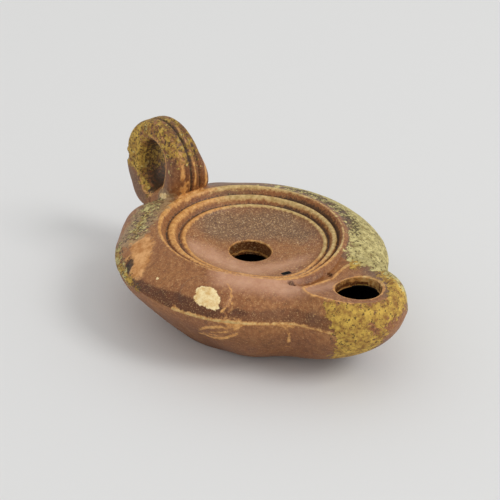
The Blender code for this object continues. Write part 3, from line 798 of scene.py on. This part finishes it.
def handle():
    """The ring: its section carried round the finger hole, wider and leaning towards the foot.

    Grooves part its rim into ribs: each is a bell across the rim, deepest in front."""
    path = (np.arange(HANDLE_STEPS) / HANDLE_STEPS * 2.0 * math.pi)[:, None]
    foot = 0.5 - 0.5 * np.sin(path)
    half_width = 0.5 * (HANDLE_TOP_WIDTH + (HANDLE_FOOT_WIDTH - HANDLE_TOP_WIDTH) * foot)
    root = 0.5 - 0.5 * np.sin(path + math.radians(HANDLE_FLARE_TURN))
    flare = HANDLE_FLARE * ease(root, *HANDLE_FLARE_SPAN)
    out_y = HANDLE_HALF_DEPTH + HANDLE_FOOT_SPREAD * foot**HANDLE_FOOT_POWER - FINGER_HOLE_HALF_WIDTH
    out_z = HANDLE_HALF_HEIGHT - FINGER_HOLE_HALF_HEIGHT
    half = np.array(HANDLE_SECTION)
    section = np.concatenate([half, half[-2:0:-1] * (-1.0, 1.0)])
    section = even_points(curve_through(section, 12, True), HANDLE_POINTS, True)
    across, out = section.T
    x = half_width * across + flare * out * across**3 + HANDLE_LEAN * foot
    front = ease(-np.cos(path), -0.3, 0.4)
    low = foot * front
    grooved = np.zeros_like(x)
    for at, shift, width, depth, back in HANDLE_GROOVES:
        grooved += depth * bell(x - at - shift * low, width) * (back + (1.0 - back) * front)
    grooved *= ease(out, 0.75, 0.9)
    y = HANDLE_AT + np.cos(path) * (FINGER_HOLE_HALF_WIDTH + out_y * out - grooved)
    z = HANDLE_HEIGHT + np.sin(path) * (FINGER_HOLE_HALF_HEIGHT + out_z * out - grooved)
    inner = 1.0 - ease(out, 0.2, 0.7)
    y += FINGER_HOLE_SHIFT[0] * inner
    z += FINGER_HOLE_SHIFT[1] * inner
    ring = closed_object("handle_ring", shaken(np.stack([x, y, z], axis=-1)), True)
    trim(ring, wall_core(), "DIFFERENCE")
    return ring


def shaken(grid):
    """The handle's grid with small uneven swellings and the chips on its back edge, along its normals."""
    away = grid - np.array([0.0, HANDLE_AT, HANDLE_HEIGHT])
    away[..., 0] *= 2.0
    away /= np.linalg.norm(away, axis=-1, keepdims=True)
    rise = 0.12 * (rough(grid, 7.0, 31) - 0.7) + 0.04 * (rough(grid, 2.2, 35) - 0.5)
    for corner, deep, seed, end in HANDLE_CHIPS:
        rise -= deep * ease(stroke(grid, corner) + 0.5 * noise(grid, 1.5, seed), 0.0, end)
    return grid + away * rise[..., None]


def wick_hole():
    """Cutter for the wick hole: a round bar that follows the nozzle's top and flares into a rounded lip."""
    turn = np.arange(128) / 128 * 2.0 * math.pi
    rows = []
    lip = WICK_LIP_ROUND
    section = [(lip + 1.0, 3.0), (lip + 0.1, 0.1)]
    for depth in np.linspace(0.0, lip, 6):
        section.append((lip - math.sqrt(max(lip**2 - (lip - depth) ** 2, 0.0)), -depth))
    section += WICK_WALL
    wobble = 0.12 * np.sin(2.0 * turn + 0.6) + 0.08 * np.sin(3.0 * turn)
    for extra, level in section:
        reach = WICK_HOLE_RADIUS + extra + wobble
        x = reach * np.cos(turn)
        y = reach * np.sin(turn) - WICK_HOLE_CENTRE
        rows.append(np.stack([x, y, top_height(-x, -y) + level], axis=-1))
    return closed_object("wick_hole", np.stack(rows))


def air_hole():
    """Cutter for the air hole: an upright bar with an oval section, long along the edge of the disc."""
    bearing = math.radians(AIR_HOLE_BEARING)
    centre = np.array([-math.sin(bearing), -math.cos(bearing)]) * AIR_HOLE_RADIUS
    side = np.array([math.cos(bearing), -math.sin(bearing)])
    outward = centre / AIR_HOLE_RADIUS
    turn = np.arange(24) / 24 * 2.0 * math.pi
    plan = centre + 0.5 * AIR_HOLE_LENGTH * np.cos(turn)[:, None] * side
    plan += 0.5 * AIR_HOLE_WIDTH * np.sin(turn)[:, None] * outward
    rows = [np.column_stack([plan, np.full(24, height)]) for height in (15.0, 24.0)]
    return closed_object("air_hole", np.stack(rows))


def trim(thing, other, operation):
    """Joins other to thing or cuts it away, for good, and removes other."""
    modifier = thing.modifiers.new(operation.lower(), "BOOLEAN")
    modifier.operation = operation
    modifier.solver = "MANIFOLD"
    modifier.object = other
    seen = thing.evaluated_get(bpy.context.evaluated_depsgraph_get())
    mesh = bpy.data.meshes.new_from_object(seen)
    thing.modifiers.clear()
    thing.data = mesh
    bpy.data.objects.remove(other)


def mesh_points(mesh):
    """The mesh's points in mm."""
    points = np.empty(len(mesh.vertices) * 3)
    mesh.vertices.foreach_get("co", points)
    return points.reshape(-1, 3) / MM


def whole_key(points):
    """One whole number for each point, its coordinates in thousandths of a mm side by side."""
    steps = np.rint(points * 1000.0).astype(np.int64) + 2**19
    return (steps[:, 0] * 2**20 + steps[:, 1]) * 2**20 + steps[:, 2]


def soften_root(mesh, before):
    """Rounds the crease where the handle meets the body.

    Points near those that the join made move towards the mean of their neighbours, again and again."""
    points = mesh_points(mesh)
    fresh = ~np.isin(whole_key(points), whole_key(before))
    near = (points[:, 1] > 20.0) & (np.abs(points[:, 0]) < 14.0) & (points[:, 2] > 14.0)
    crease = points[fresh & near]
    zone = np.flatnonzero(near)
    gap = np.full(len(zone), np.inf)
    for start in range(0, len(crease), 200):
        span = np.linalg.norm(points[zone][:, None] - crease[None, start:start + 200], axis=-1)
        gap = np.minimum(gap, span.min(axis=1))
    weight = np.zeros(len(points))
    weight[zone] = 1.0 - ease(gap, 0.3, ROOT_FILLET)
    edges = np.empty(len(mesh.edges) * 2, int)
    mesh.edges.foreach_get("vertices", edges)
    edges = edges.reshape(-1, 2)
    edges = edges[(weight[edges] > 0.0).any(axis=1)]
    count = np.bincount(edges.ravel(), minlength=len(points))
    for _ in range(12):
        total = np.zeros_like(points)
        np.add.at(total, edges[:, 0], points[edges[:, 1]])
        np.add.at(total, edges[:, 1], points[edges[:, 0]])
        mean = total / np.maximum(count, 1)[:, None]
        points += (0.6 * weight * (count > 0))[:, None] * (mean - points)
    mesh.vertices.foreach_set("co", (points * MM).ravel())
    mesh.update()


def in_chamber(points):
    """True for points on the chamber's walls, painted near black as shade."""
    x, y, z = points.T
    radius = np.hypot(x, y)
    bearing = np.arctan2(-x, -y)
    rim = outline(bearing, WALL)
    edge = SHOULDER_START - 0.5 * WALL
    step = np.clip((radius - edge) / (rim - edge), 0.0, 1.0)
    inward = np.clip((radius - FILL_HOLE_RADIUS) / (edge - FILL_HOLE_RADIUS), 0.0, 1.0)
    ceiling = np.where(radius < edge, disc_height(inward, WALL), shoulder(step, bearing, WALL)[1])
    floor_edge = BASE_RADIUS - WALL
    step = np.clip((radius - floor_edge) / (rim - floor_edge), 0.0, 1.0)
    ground = np.where(radius < floor_edge, WALL, underside(step, bearing, WALL)[1])
    from_hole = np.hypot(x - ring_shift(0.0)[0], y - ring_shift(0.0)[1])
    below = (z < ceiling + 0.25) & (from_hole > FILL_HOLE_RADIUS + 0.6)
    return (radius < rim + 0.5) & below & (z > ground - 0.4)


def in_air_hole(points):
    """How far inside the air hole's upright bar each point lies, with a little to spare."""
    x, y, _ = points.T
    bearing = math.radians(AIR_HOLE_BEARING)
    across = x * math.cos(bearing) - y * math.sin(bearing)
    outward = -x * math.sin(bearing) - y * math.cos(bearing) - AIR_HOLE_RADIUS
    return 1.0 - np.hypot(across / (0.5 * AIR_HOLE_LENGTH + 0.05), outward / (0.5 * AIR_HOLE_WIDTH + 0.05))


def wear(points, centre, reach, bearing):
    """How far inside a worn crest or a dirty groove each point lies, its reach given by bearing."""
    shift = ring_shift(centre)
    off = np.abs(np.hypot(points[:, 0] - shift[0], points[:, 1] - shift[1]) - centre)
    return look_up(reach, bearing) - off


def only(where, inside):
    """A mark kept only at some points, and nowhere near elsewhere."""
    return np.where(where, inside, NOWHERE)


def marks(points):
    """The lamp's worn, chipped, crusted and dirty places and its painted shade and sheen: how far inside each
    one every point lies, in mm.

    Crusts and thin dirt use a stretched depth, so that they break up over a wide border. The slip's tones,
    the rosy painted sheen and the deep painted shade run from -0.5 where there is none to 0.5."""
    x, y, z = points.T
    radius = np.hypot(x, y)
    bearing = np.degrees(np.arctan2(-x, -y))
    on_handle = is_handle(points)
    top = ~on_handle & (z > SEAM_HEIGHT - 1.0)
    rings = top & (radius < 27.5) & (radius > 15.0)
    from_wick = np.hypot(x, y + WICK_HOLE_CENTRE)
    from_hole = np.hypot(x - SHIFT_ACROSS[0.0], y - SHIFT_ALONG[0.0])
    in_ring = np.hypot(
        (y - HANDLE_AT - FINGER_HOLE_SHIFT[0]) / FINGER_HOLE_EDGE[0],
        (z - HANDLE_HEIGHT - FINGER_HOLE_SHIFT[1]) / FINGER_HOLE_EDGE[1],
    )

    # Worn to the buff clay: crests, hole rims and the lines on their walls, heart, seam, boss edge, ribs
    crests = most(*(wear(points, crest, reach, bearing) for crest, reach in CREST_WEAR.items()))
    wall_line = z - 15.2 + 0.05 * x - 0.5 * noise(points, 2.5, 54)
    holes = most(
        0.14 - np.abs(from_hole - FILL_HOLE_RADIUS - 0.12) - 5.0 * (z < 18.0),
        0.3 - np.abs(from_wick - WICK_HOLE_RADIUS - 0.25) - 5.0 * (z < 23.0),
        0.24 - np.abs(wall_line) - 5.0 * (from_hole > 6.1),
        0.35 - np.abs(top_height(-x, -y) - z - 2.8) - 5.0 * (from_wick > 6.4),
    )
    heart = 0.4 - gap_to_path(points[:, :2], heart_curve()) + 0.25 * noise(points, 3.0, 51)
    heart -= 0.25 * ease(x, -9.0, -6.0) * ease(-y, 26.0, 40.0)
    seam = 0.3 + 0.1 * rough(points, 3.0, 45) - np.abs(z - SEAM_HEIGHT - 0.1) - 3.0 * (radius < 35.0)
    seam += 0.15 * ease(bearing, 40.0, 50.0) - 2.0 * ease(bearing, 76.0, 79.0) - 2.0 * (bearing < 14.0)
    boss_across, boss_along = boss_place(points)
    boss_edge = 0.18 - np.abs(boss_inside(points) - 0.1) - 3.0 * (z > 24.9)
    boss_edge -= 1.5 * (1.0 - ease(boss_across - 0.2 * boss_along, 3.0, 5.5))
    ribs = most(
        only(z < 42.0, 0.2 - 0.3 * np.abs(x + 2.7) + 0.5 * noise(points, 1.0, 55)),
        0.25 - np.abs(x - 1.0),
        0.5 - np.abs(x - 5.6),
    ) + 0.35 * noise(points, 1.6, 53)
    finger_hole_edge = on_handle & (x < -3.0) & ((y < 39.0) | (z < 26.0))
    pit = drawn(points, "dark pit")
    scrape = drawn(points, "leaf-shaped scrape")
    worn = most(
        only(rings, crests),
        only(top | (from_hole < 6.1), holes),
        only(top & (z > 22.0), heart),
        seam,
        only(top, most(boss_edge, drawn(points, "edge at the boss's foot"))),
        only(on_handle & (y < 35.0), ribs),
        only(finger_hole_edge, 0.55 - np.abs((in_ring - 1.08) * 6.5)),
        0.25 - np.abs(pit + 0.35),
        scrape + 0.15,
        drawn(points, "rubbed lines"),
    )

    # Darkened: grooves, near black on the far side, pits, the finger hole, and a painted shadow crescent in
    # each stamped dot
    far = ease(-bearing, 20.0, 50.0) * (1.0 - ease(-bearing, 110.0, 145.0))
    lines = most(
        wear(points, INNER_GROOVE, {0: 0.22}, bearing),
        wear(points, OUTER_GROOVE, {0: 0.26}, bearing),
    )
    grooves = most(
        wear(points, INNER_GROOVE + 0.1, {0: 0.4}, bearing),
        wear(points, OUTER_GROOVE + 0.2, {0: 0.5}, bearing),
    )
    grooves -= 0.08 + 1.3 * (1.0 - far)
    finger_wall = np.minimum((1.02 - in_ring) * 6.5, np.where(y > 39.0, (x + 2.6) / 1.5, 1.0))
    finger_wall += 5.0 * on_handle - 5.0
    low = np.clip(0.5 - 0.5 * (z - HANDLE_HEIGHT) / HANDLE_HALF_HEIGHT, 0.0, 1.0)
    first, second = HANDLE_GROOVES[:2]
    handle_lines = most(
        0.42 - np.abs(x - first[0] - first[1] * low) - 2.0 * (y > 44.0),
        0.2 - np.abs(x - second[0] - second[1] * low) - 2.0 * (z > 40.0),
    ) - 2.0 * (in_ring < 1.35)
    # Painted shadow: a dark crescent on one side of each stamped dot
    crescents = np.full(x.shape, NOWHERE)
    for across, along, facing in DOTS:
        off = np.hypot(x - across, y - along)
        turn = math.radians(facing)
        side = ((x - across) * math.cos(turn) + (y - along) * math.sin(turn)) / DOT_RADIUS
        crescents = most(crescents, 0.45 - np.abs(off - 0.95) - 0.8 * (1.0 - ease(side, -0.2, 0.5)))
    hollow = drawn(points, "seam hollow")
    darkened_and_painted_shade = most(
        only(rings, most(lines, grooves)),
        pit - 0.5,
        hollow - 0.7,
        drawn(points, "nick") - 0.1,
        only(on_handle, handle_lines),
        only(top, crescents - 0.42),
    )

    # Tones of the slip, and the painted shade of the deep coat
    grey = most(toned(points, "grey"), np.where(top & (x > 9.0) & (radius > 26.0), 0.8, 0.0))
    # Painted shade on the near-upright wall just over the seam, up to BAND_TOP
    band = np.clip(np.minimum((z - 18.6) / 0.3, (look_up(BAND_TOP, bearing) - z) / 0.7) + 0.5, 0.0, 1.0)
    band *= (radius > 31.0) & ~on_handle & (bearing > 12.0) & (bearing < 103.0)
    in_finger_hole = np.clip(1.0 + finger_wall, 0.0, 1.0)
    # Painted shade: band over the seam, pit, seam hollow, dots' crescents, handle by the body, holes, lower
    # body
    deep = most(
        band * (0.6 + 0.4 * ease(bearing, 48.0, 58.0)),
        np.clip(pit + 0.8, 0.0, 1.0),
        np.clip(hollow + 1.0, 0.0, 1.0),
        np.where(top, np.clip(0.5 + 1.5 * crescents, 0.0, 1.0), 0.0),
        np.where(on_handle & (y < 37.0), 0.5, 0.0),
        in_finger_hole * (1.0 - 0.5 * ease(y, 39.0, 43.0)),
        np.where((from_hole < 6.1) & (z < 18.3), 0.8, 0.0),
        np.where((from_wick < 6.4) & (z < 24.5), 0.9, 0.0),
        np.where(on_handle, 0.0, 0.45 * (1.0 - ease(z, 12.0, 17.5))),
    )
    on_disc = ease(drawn(points, "dark half of the disc") / 6.0, 0.0, 1.0)
    sandy = np.where(radius < 19.0, -0.44 + 0.1 * on_disc, np.where(top, -0.62, -0.72))

    # The crust is ochre on the nozzle, olive on the right shoulder and in between elsewhere
    crust = crust_depth(points)
    olive = np.where(on_handle, 0.3, most(ease(x, 4.0, 15.0), 0.5 * ease(y, 5.0, 12.0)))
    no_dots = -3.0
    border = np.where(x > 11.0, 0.35 - np.abs(radius - 28.6) / 3.2, no_dots) - 0.8 * ease(-y, 16.0, 24.0)
    dark_dots = most(
        np.where(crust > -0.8, -0.5, no_dots),
        np.where(top, border * far + no_dots * (1.0 - far), no_dots),
        np.where(on_handle & (crust > -0.3) & (y > 31.0), -0.3, no_dots),
        0.35 - 0.45 * ease(y, 40.5, 43.5) + 2.0 * np.minimum(finger_wall, 0.0),
        np.where(~on_handle & (x < 0.0) & (y > 3.0) & (crust > -1.0), -0.25, no_dots),
    )
    left_back = (x < 0.0) & (y > 3.0)
    aged = np.where(on_handle, 0.15 - 0.5 * ease(-x, 2.0, 4.5), np.where(left_back, -0.1, -0.5))
    return {
        "worn": worn,
        "bare": most(
            drawn(points, "bare patch") / 1.5,
            drawn(points, "seam break") - 0.7,
            drawn(points, "inside of the scrape"),
        ),
        "chip": most(drawn(points, "boss chip"), drawn(points, "small chips")),
        "dusty": drawn(points, "dusty root") / 2.0,
        "crust": np.minimum(crust, 1.5 - 3.5 * in_finger_hole * (1.0 - ease(y, 40.0, 43.0))),
        "olive": np.minimum(crust, 6.0 * (olive - 0.5)),
        "pale": only(top, most(np.minimum(worn, 1.6 * ease(x, -8.0, 22.0) - 0.8), seam - 0.2)),
        "dots": dark_dots,
        "darkened_and_painted_shade": darkened_and_painted_shade,
        # Painted shade: the chamber's walls and the air hole near black
        "chamber": np.where(in_chamber(points) | (in_air_hole(points) > 0.0), 2.0, -2.0),
        # Rosy slip tone and painted sheen
        "rosy_and_painted_sheen": np.clip(toned(points, "rosy_and_painted_sheen"), 0.0, 1.0) - 0.5,
        "grey": np.clip(grey, 0.0, 1.0) - 0.5,
        "deep": np.clip(deep, 0.0, 1.0) - 0.5,
        "sandy": sandy,
        "aged": aged - 2.0 * (crust < -0.6),
    }


def lamp():
    """The whole lamp, one closed piece, with its marks as attributes."""
    piece = body()
    ring = handle()
    before = np.concatenate([mesh_points(piece.data), mesh_points(ring.data)])
    trim(piece, ring, "UNION")
    soften_root(piece.data, before)
    trim(piece, wick_hole(), "DIFFERENCE")
    trim(piece, air_hole(), "DIFFERENCE")
    piece.name = "clay_lamp"
    piece.data.name = "clay_lamp"
    for name, values in marks(mesh_points(piece.data)).items():
        piece.data.attributes.new(name, "FLOAT", "POINT").data.foreach_set("value", values.astype(np.float32))
    piece.data.shade_smooth()
    return piece


def colour(hex_code):
    """Linear colour of an sRGB hex value."""
    parts = [int(hex_code[start:start + 2], 16) / 255.0 for start in (1, 3, 5)]
    return [part / 12.92 if part <= 0.04045 else ((part + 0.055) / 1.055) ** 2.4 for part in parts] + [1.0]


def add(tree, kind, settings=None, out=None, **feeds):
    """Adds a shader node with its settings, and gives its output of that name or else its first one.

    Each feed is a value or another node's output. Its name is the socket's with underscores for spaces, or
    in_ and the socket's number."""
    node = tree.nodes.new("ShaderNode" + kind)
    for name, value in (settings or {}).items():
        setattr(node, name, value)
    for name, value in feeds.items():
        socket = node.inputs[int(name[3:]) if name.startswith("in_") else name.replace("_", " ")]
        if isinstance(value, bpy.types.NodeSocket):
            tree.links.new(value, socket)
        else:
            socket.default_value = value
    return node.outputs[out] if out else next(socket for socket in node.outputs if socket.enabled)


def slip_coated_clay():
    """Buff clay under a red-brown slip with a satin sheen, rubbed off the crests, with lime crust, dirt and
    painted shade and sheen.

    Each coat of the list lies on the ones before. Its share is its mark, moved by noise and eased from -soft
    to +soft. It looks a warm brown that breaks up into buff lines, ochre crust and dark pits."""
    material = bpy.data.materials.new("slip-coated fired clay")
    material.use_nodes = True
    tree = material.node_tree
    shader = tree.nodes["Principled BSDF"]
    spot = add(tree, "TexCoord", out="Object")
    blend = {"data_type": "RGBA"}
    times = {"operation": "MULTIPLY"}
    larger = {"operation": "MAXIMUM"}
    times_plus = {"operation": "MULTIPLY_ADD"}

    # Slip: brushed on unevenly, so its brown varies over about 9 mm, with a mottle of about 1 mm
    broad = add(tree, "TexNoise", Vector=spot, Scale=1.0 / (9.0 * MM), Detail=3.0, Roughness=0.6)
    broad = add(tree, "MapRange", Value=broad, From_Min=0.35, From_Max=0.65)
    tone = add(tree, "Mix", blend, in_0=broad, in_6=colour("#8c5225"), in_7=colour("#9c6433"))
    mottle = add(tree, "TexNoise", Vector=spot, Scale=1.0 / (1.2 * MM), Detail=4.0, Roughness=0.75)
    darker = add(tree, "MapRange", Value=mottle, From_Min=0.5, From_Max=0.3, To_Max=0.5)
    tone = add(tree, "Mix", blend, in_0=darker, in_6=tone, in_7=colour("#4a2c15"))
    lighter = add(tree, "MapRange", Value=mottle, From_Min=0.5, From_Max=0.72, To_Max=0.45)
    tone = add(tree, "Mix", blend, in_0=lighter, in_6=tone, in_7=colour("#cf9a64"))

    shares = {}
    lively = {"Detail": 4.0, "Roughness": 0.7}
    for mark, low, high, patch, edge, reach, soft, most_share in COATS:
        inside = add(tree, "Attribute", {"attribute_name": mark}, "Fac")
        moved = add(tree, "TexNoise", Vector=spot, Scale=1.0 / (edge * MM), **lively)
        inside = add(tree, "Math", times_plus, in_0=moved, in_1=6.0 * reach, in_2=inside)
        limits = {"From_Min": 3.0 * reach - soft, "From_Max": 3.0 * reach + soft, "To_Max": most_share}
        share = add(tree, "MapRange", {"interpolation_type": "SMOOTHSTEP"}, Value=inside, **limits)
        patches = add(tree, "TexNoise", Vector=spot, Scale=1.0 / (patch * MM), **lively)
        patches = add(tree, "MapRange", Value=patches, From_Min=0.37, From_Max=0.62)
        hue = add(tree, "Mix", blend, in_0=patches, in_6=colour(low), in_7=colour(high))
        tone = add(tree, "Mix", blend, in_0=share, in_6=tone, in_7=hue)
        shares[mark] = share
    tree.links.new(tone, shader.inputs["Base Color"])

    # Satin slip, matt where it is rubbed, crusted or chipped, and where the chamber is painted near black as
    # shade
    matt = add(tree, "Math", larger, in_0=shares["crust"], in_1=shares["bare"])
    matt = add(tree, "Math", larger, in_0=matt, in_1=shares["chip"])
    matt = add(tree, "Math", larger, in_0=matt, in_1=shares["chamber"])
    gloss = add(tree, "MapRange", Value=broad, To_Min=0.44, To_Max=0.58)
    gloss = add(tree, "Mix", {"data_type": "FLOAT"}, in_0=matt, in_2=gloss, in_3=0.85)
    tree.links.new(gloss, shader.inputs["Roughness"])
    shader.inputs["IOR"].default_value = 1.5

    # Surface grain of 0.6 mm everywhere, and the crust stands a little proud
    grain = add(tree, "TexNoise", Vector=spot, Scale=1.0 / (0.6 * MM), Detail=4.0, Roughness=0.65)
    height = add(tree, "Math", times, in_0=grain, in_1=0.14)
    height = add(tree, "Math", times_plus, in_0=shares["crust"], in_1=0.12, in_2=height)
    bump = add(tree, "Bump", Strength=0.7, Distance=MM, Height=height)
    tree.links.new(bump, shader.inputs["Normal"])
    return material


def floor():
    """Pale matt board that the lamp stands on."""
    half = 3000.0
    corners = np.array([(-half, -half, 0.0), (half, -half, 0.0), (half, half, 0.0), (-half, half, 0.0)])
    board = build_object("floor", corners, [(0, 1, 2, 3)])
    material = bpy.data.materials.new("matt pale board")
    material.use_nodes = True
    shader = material.node_tree.nodes["Principled BSDF"]
    shader.inputs["Base Color"].default_value = colour("#e4e4e3")
    shader.inputs["Roughness"].default_value = 0.9
    board.data.materials.append(material)


def soft_light(name, place_mm, size_mm, power):
    """Square soft light that faces the lamp."""
    data = bpy.data.lights.new(name, "AREA")
    data.size = size_mm * MM
    data.energy = power
    thing = bpy.data.objects.new(name, data)
    bpy.context.scene.collection.objects.link(thing)
    back = np.array(place_mm, float)
    back /= np.linalg.norm(back)
    right = np.cross((0.0, 1.0, 0.0), back)
    right /= np.linalg.norm(right)
    turn = np.column_stack([right, np.cross(back, right), back])
    turn = Matrix(turn.tolist()).to_quaternion()
    thing.matrix_world = Matrix.LocRotScale(np.array(place_mm) * MM, turn, None)


def studio():
    """Even pale surroundings and a soft light."""
    world = bpy.data.worlds.new("studio")
    world.use_nodes = True
    back = world.node_tree.nodes["Background"]
    back.inputs["Color"].default_value = colour("#f4f4f4")
    back.inputs["Strength"].default_value = 0.8
    bpy.context.scene.world = world
    soft_light("key", (650.0, -1500.0, 1700.0), 900.0, 17.0)


def turned(axis, degrees):
    """Rotation about an axis of the camera."""
    return np.array(Matrix.Rotation(math.radians(degrees), 3, axis))


def camera():
    """Camera at the photo's place: it circles to its azimuth and elevation, then pans, tilts and rolls."""
    azimuth = math.radians(CAMERA_AZIMUTH)
    elevation = math.radians(CAMERA_ELEVATION)
    back = np.array([
        math.sin(azimuth) * math.cos(elevation),
        -math.cos(azimuth) * math.cos(elevation),
        math.sin(elevation),
    ])
    right = np.cross(-back, (0.0, 0.0, 1.0))
    right /= np.linalg.norm(right)
    axes = np.array([right, np.cross(back, right), back])
    axes = turned("Z", CAMERA_ROLL) @ turned("X", CAMERA_TILT) @ turned("Y", CAMERA_PAN) @ axes
    data = bpy.data.cameras.new("camera")
    data.sensor_width = SENSOR_WIDTH
    data.lens = SENSOR_WIDTH * FOCAL_PIXELS / PICTURE_WIDTH
    data.clip_start = 0.01
    thing = bpy.data.objects.new("camera", data)
    bpy.context.scene.collection.objects.link(thing)
    view = np.eye(4)
    view[:3, :3] = axes.T
    view[:3, 3] = back * CAMERA_DISTANCE * MM
    thing.matrix_world = Matrix(view.tolist())
    bpy.context.scene.camera = thing


camera()
studio()
floor()
clay_lamp = lamp()
clay_lamp.data.materials.clear()
clay_lamp.data.materials.append(slip_coated_clay())
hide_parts("oil_lamp")
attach(clay_lamp, "root")
bpy.context.scene.view_settings.view_transform = "Standard"
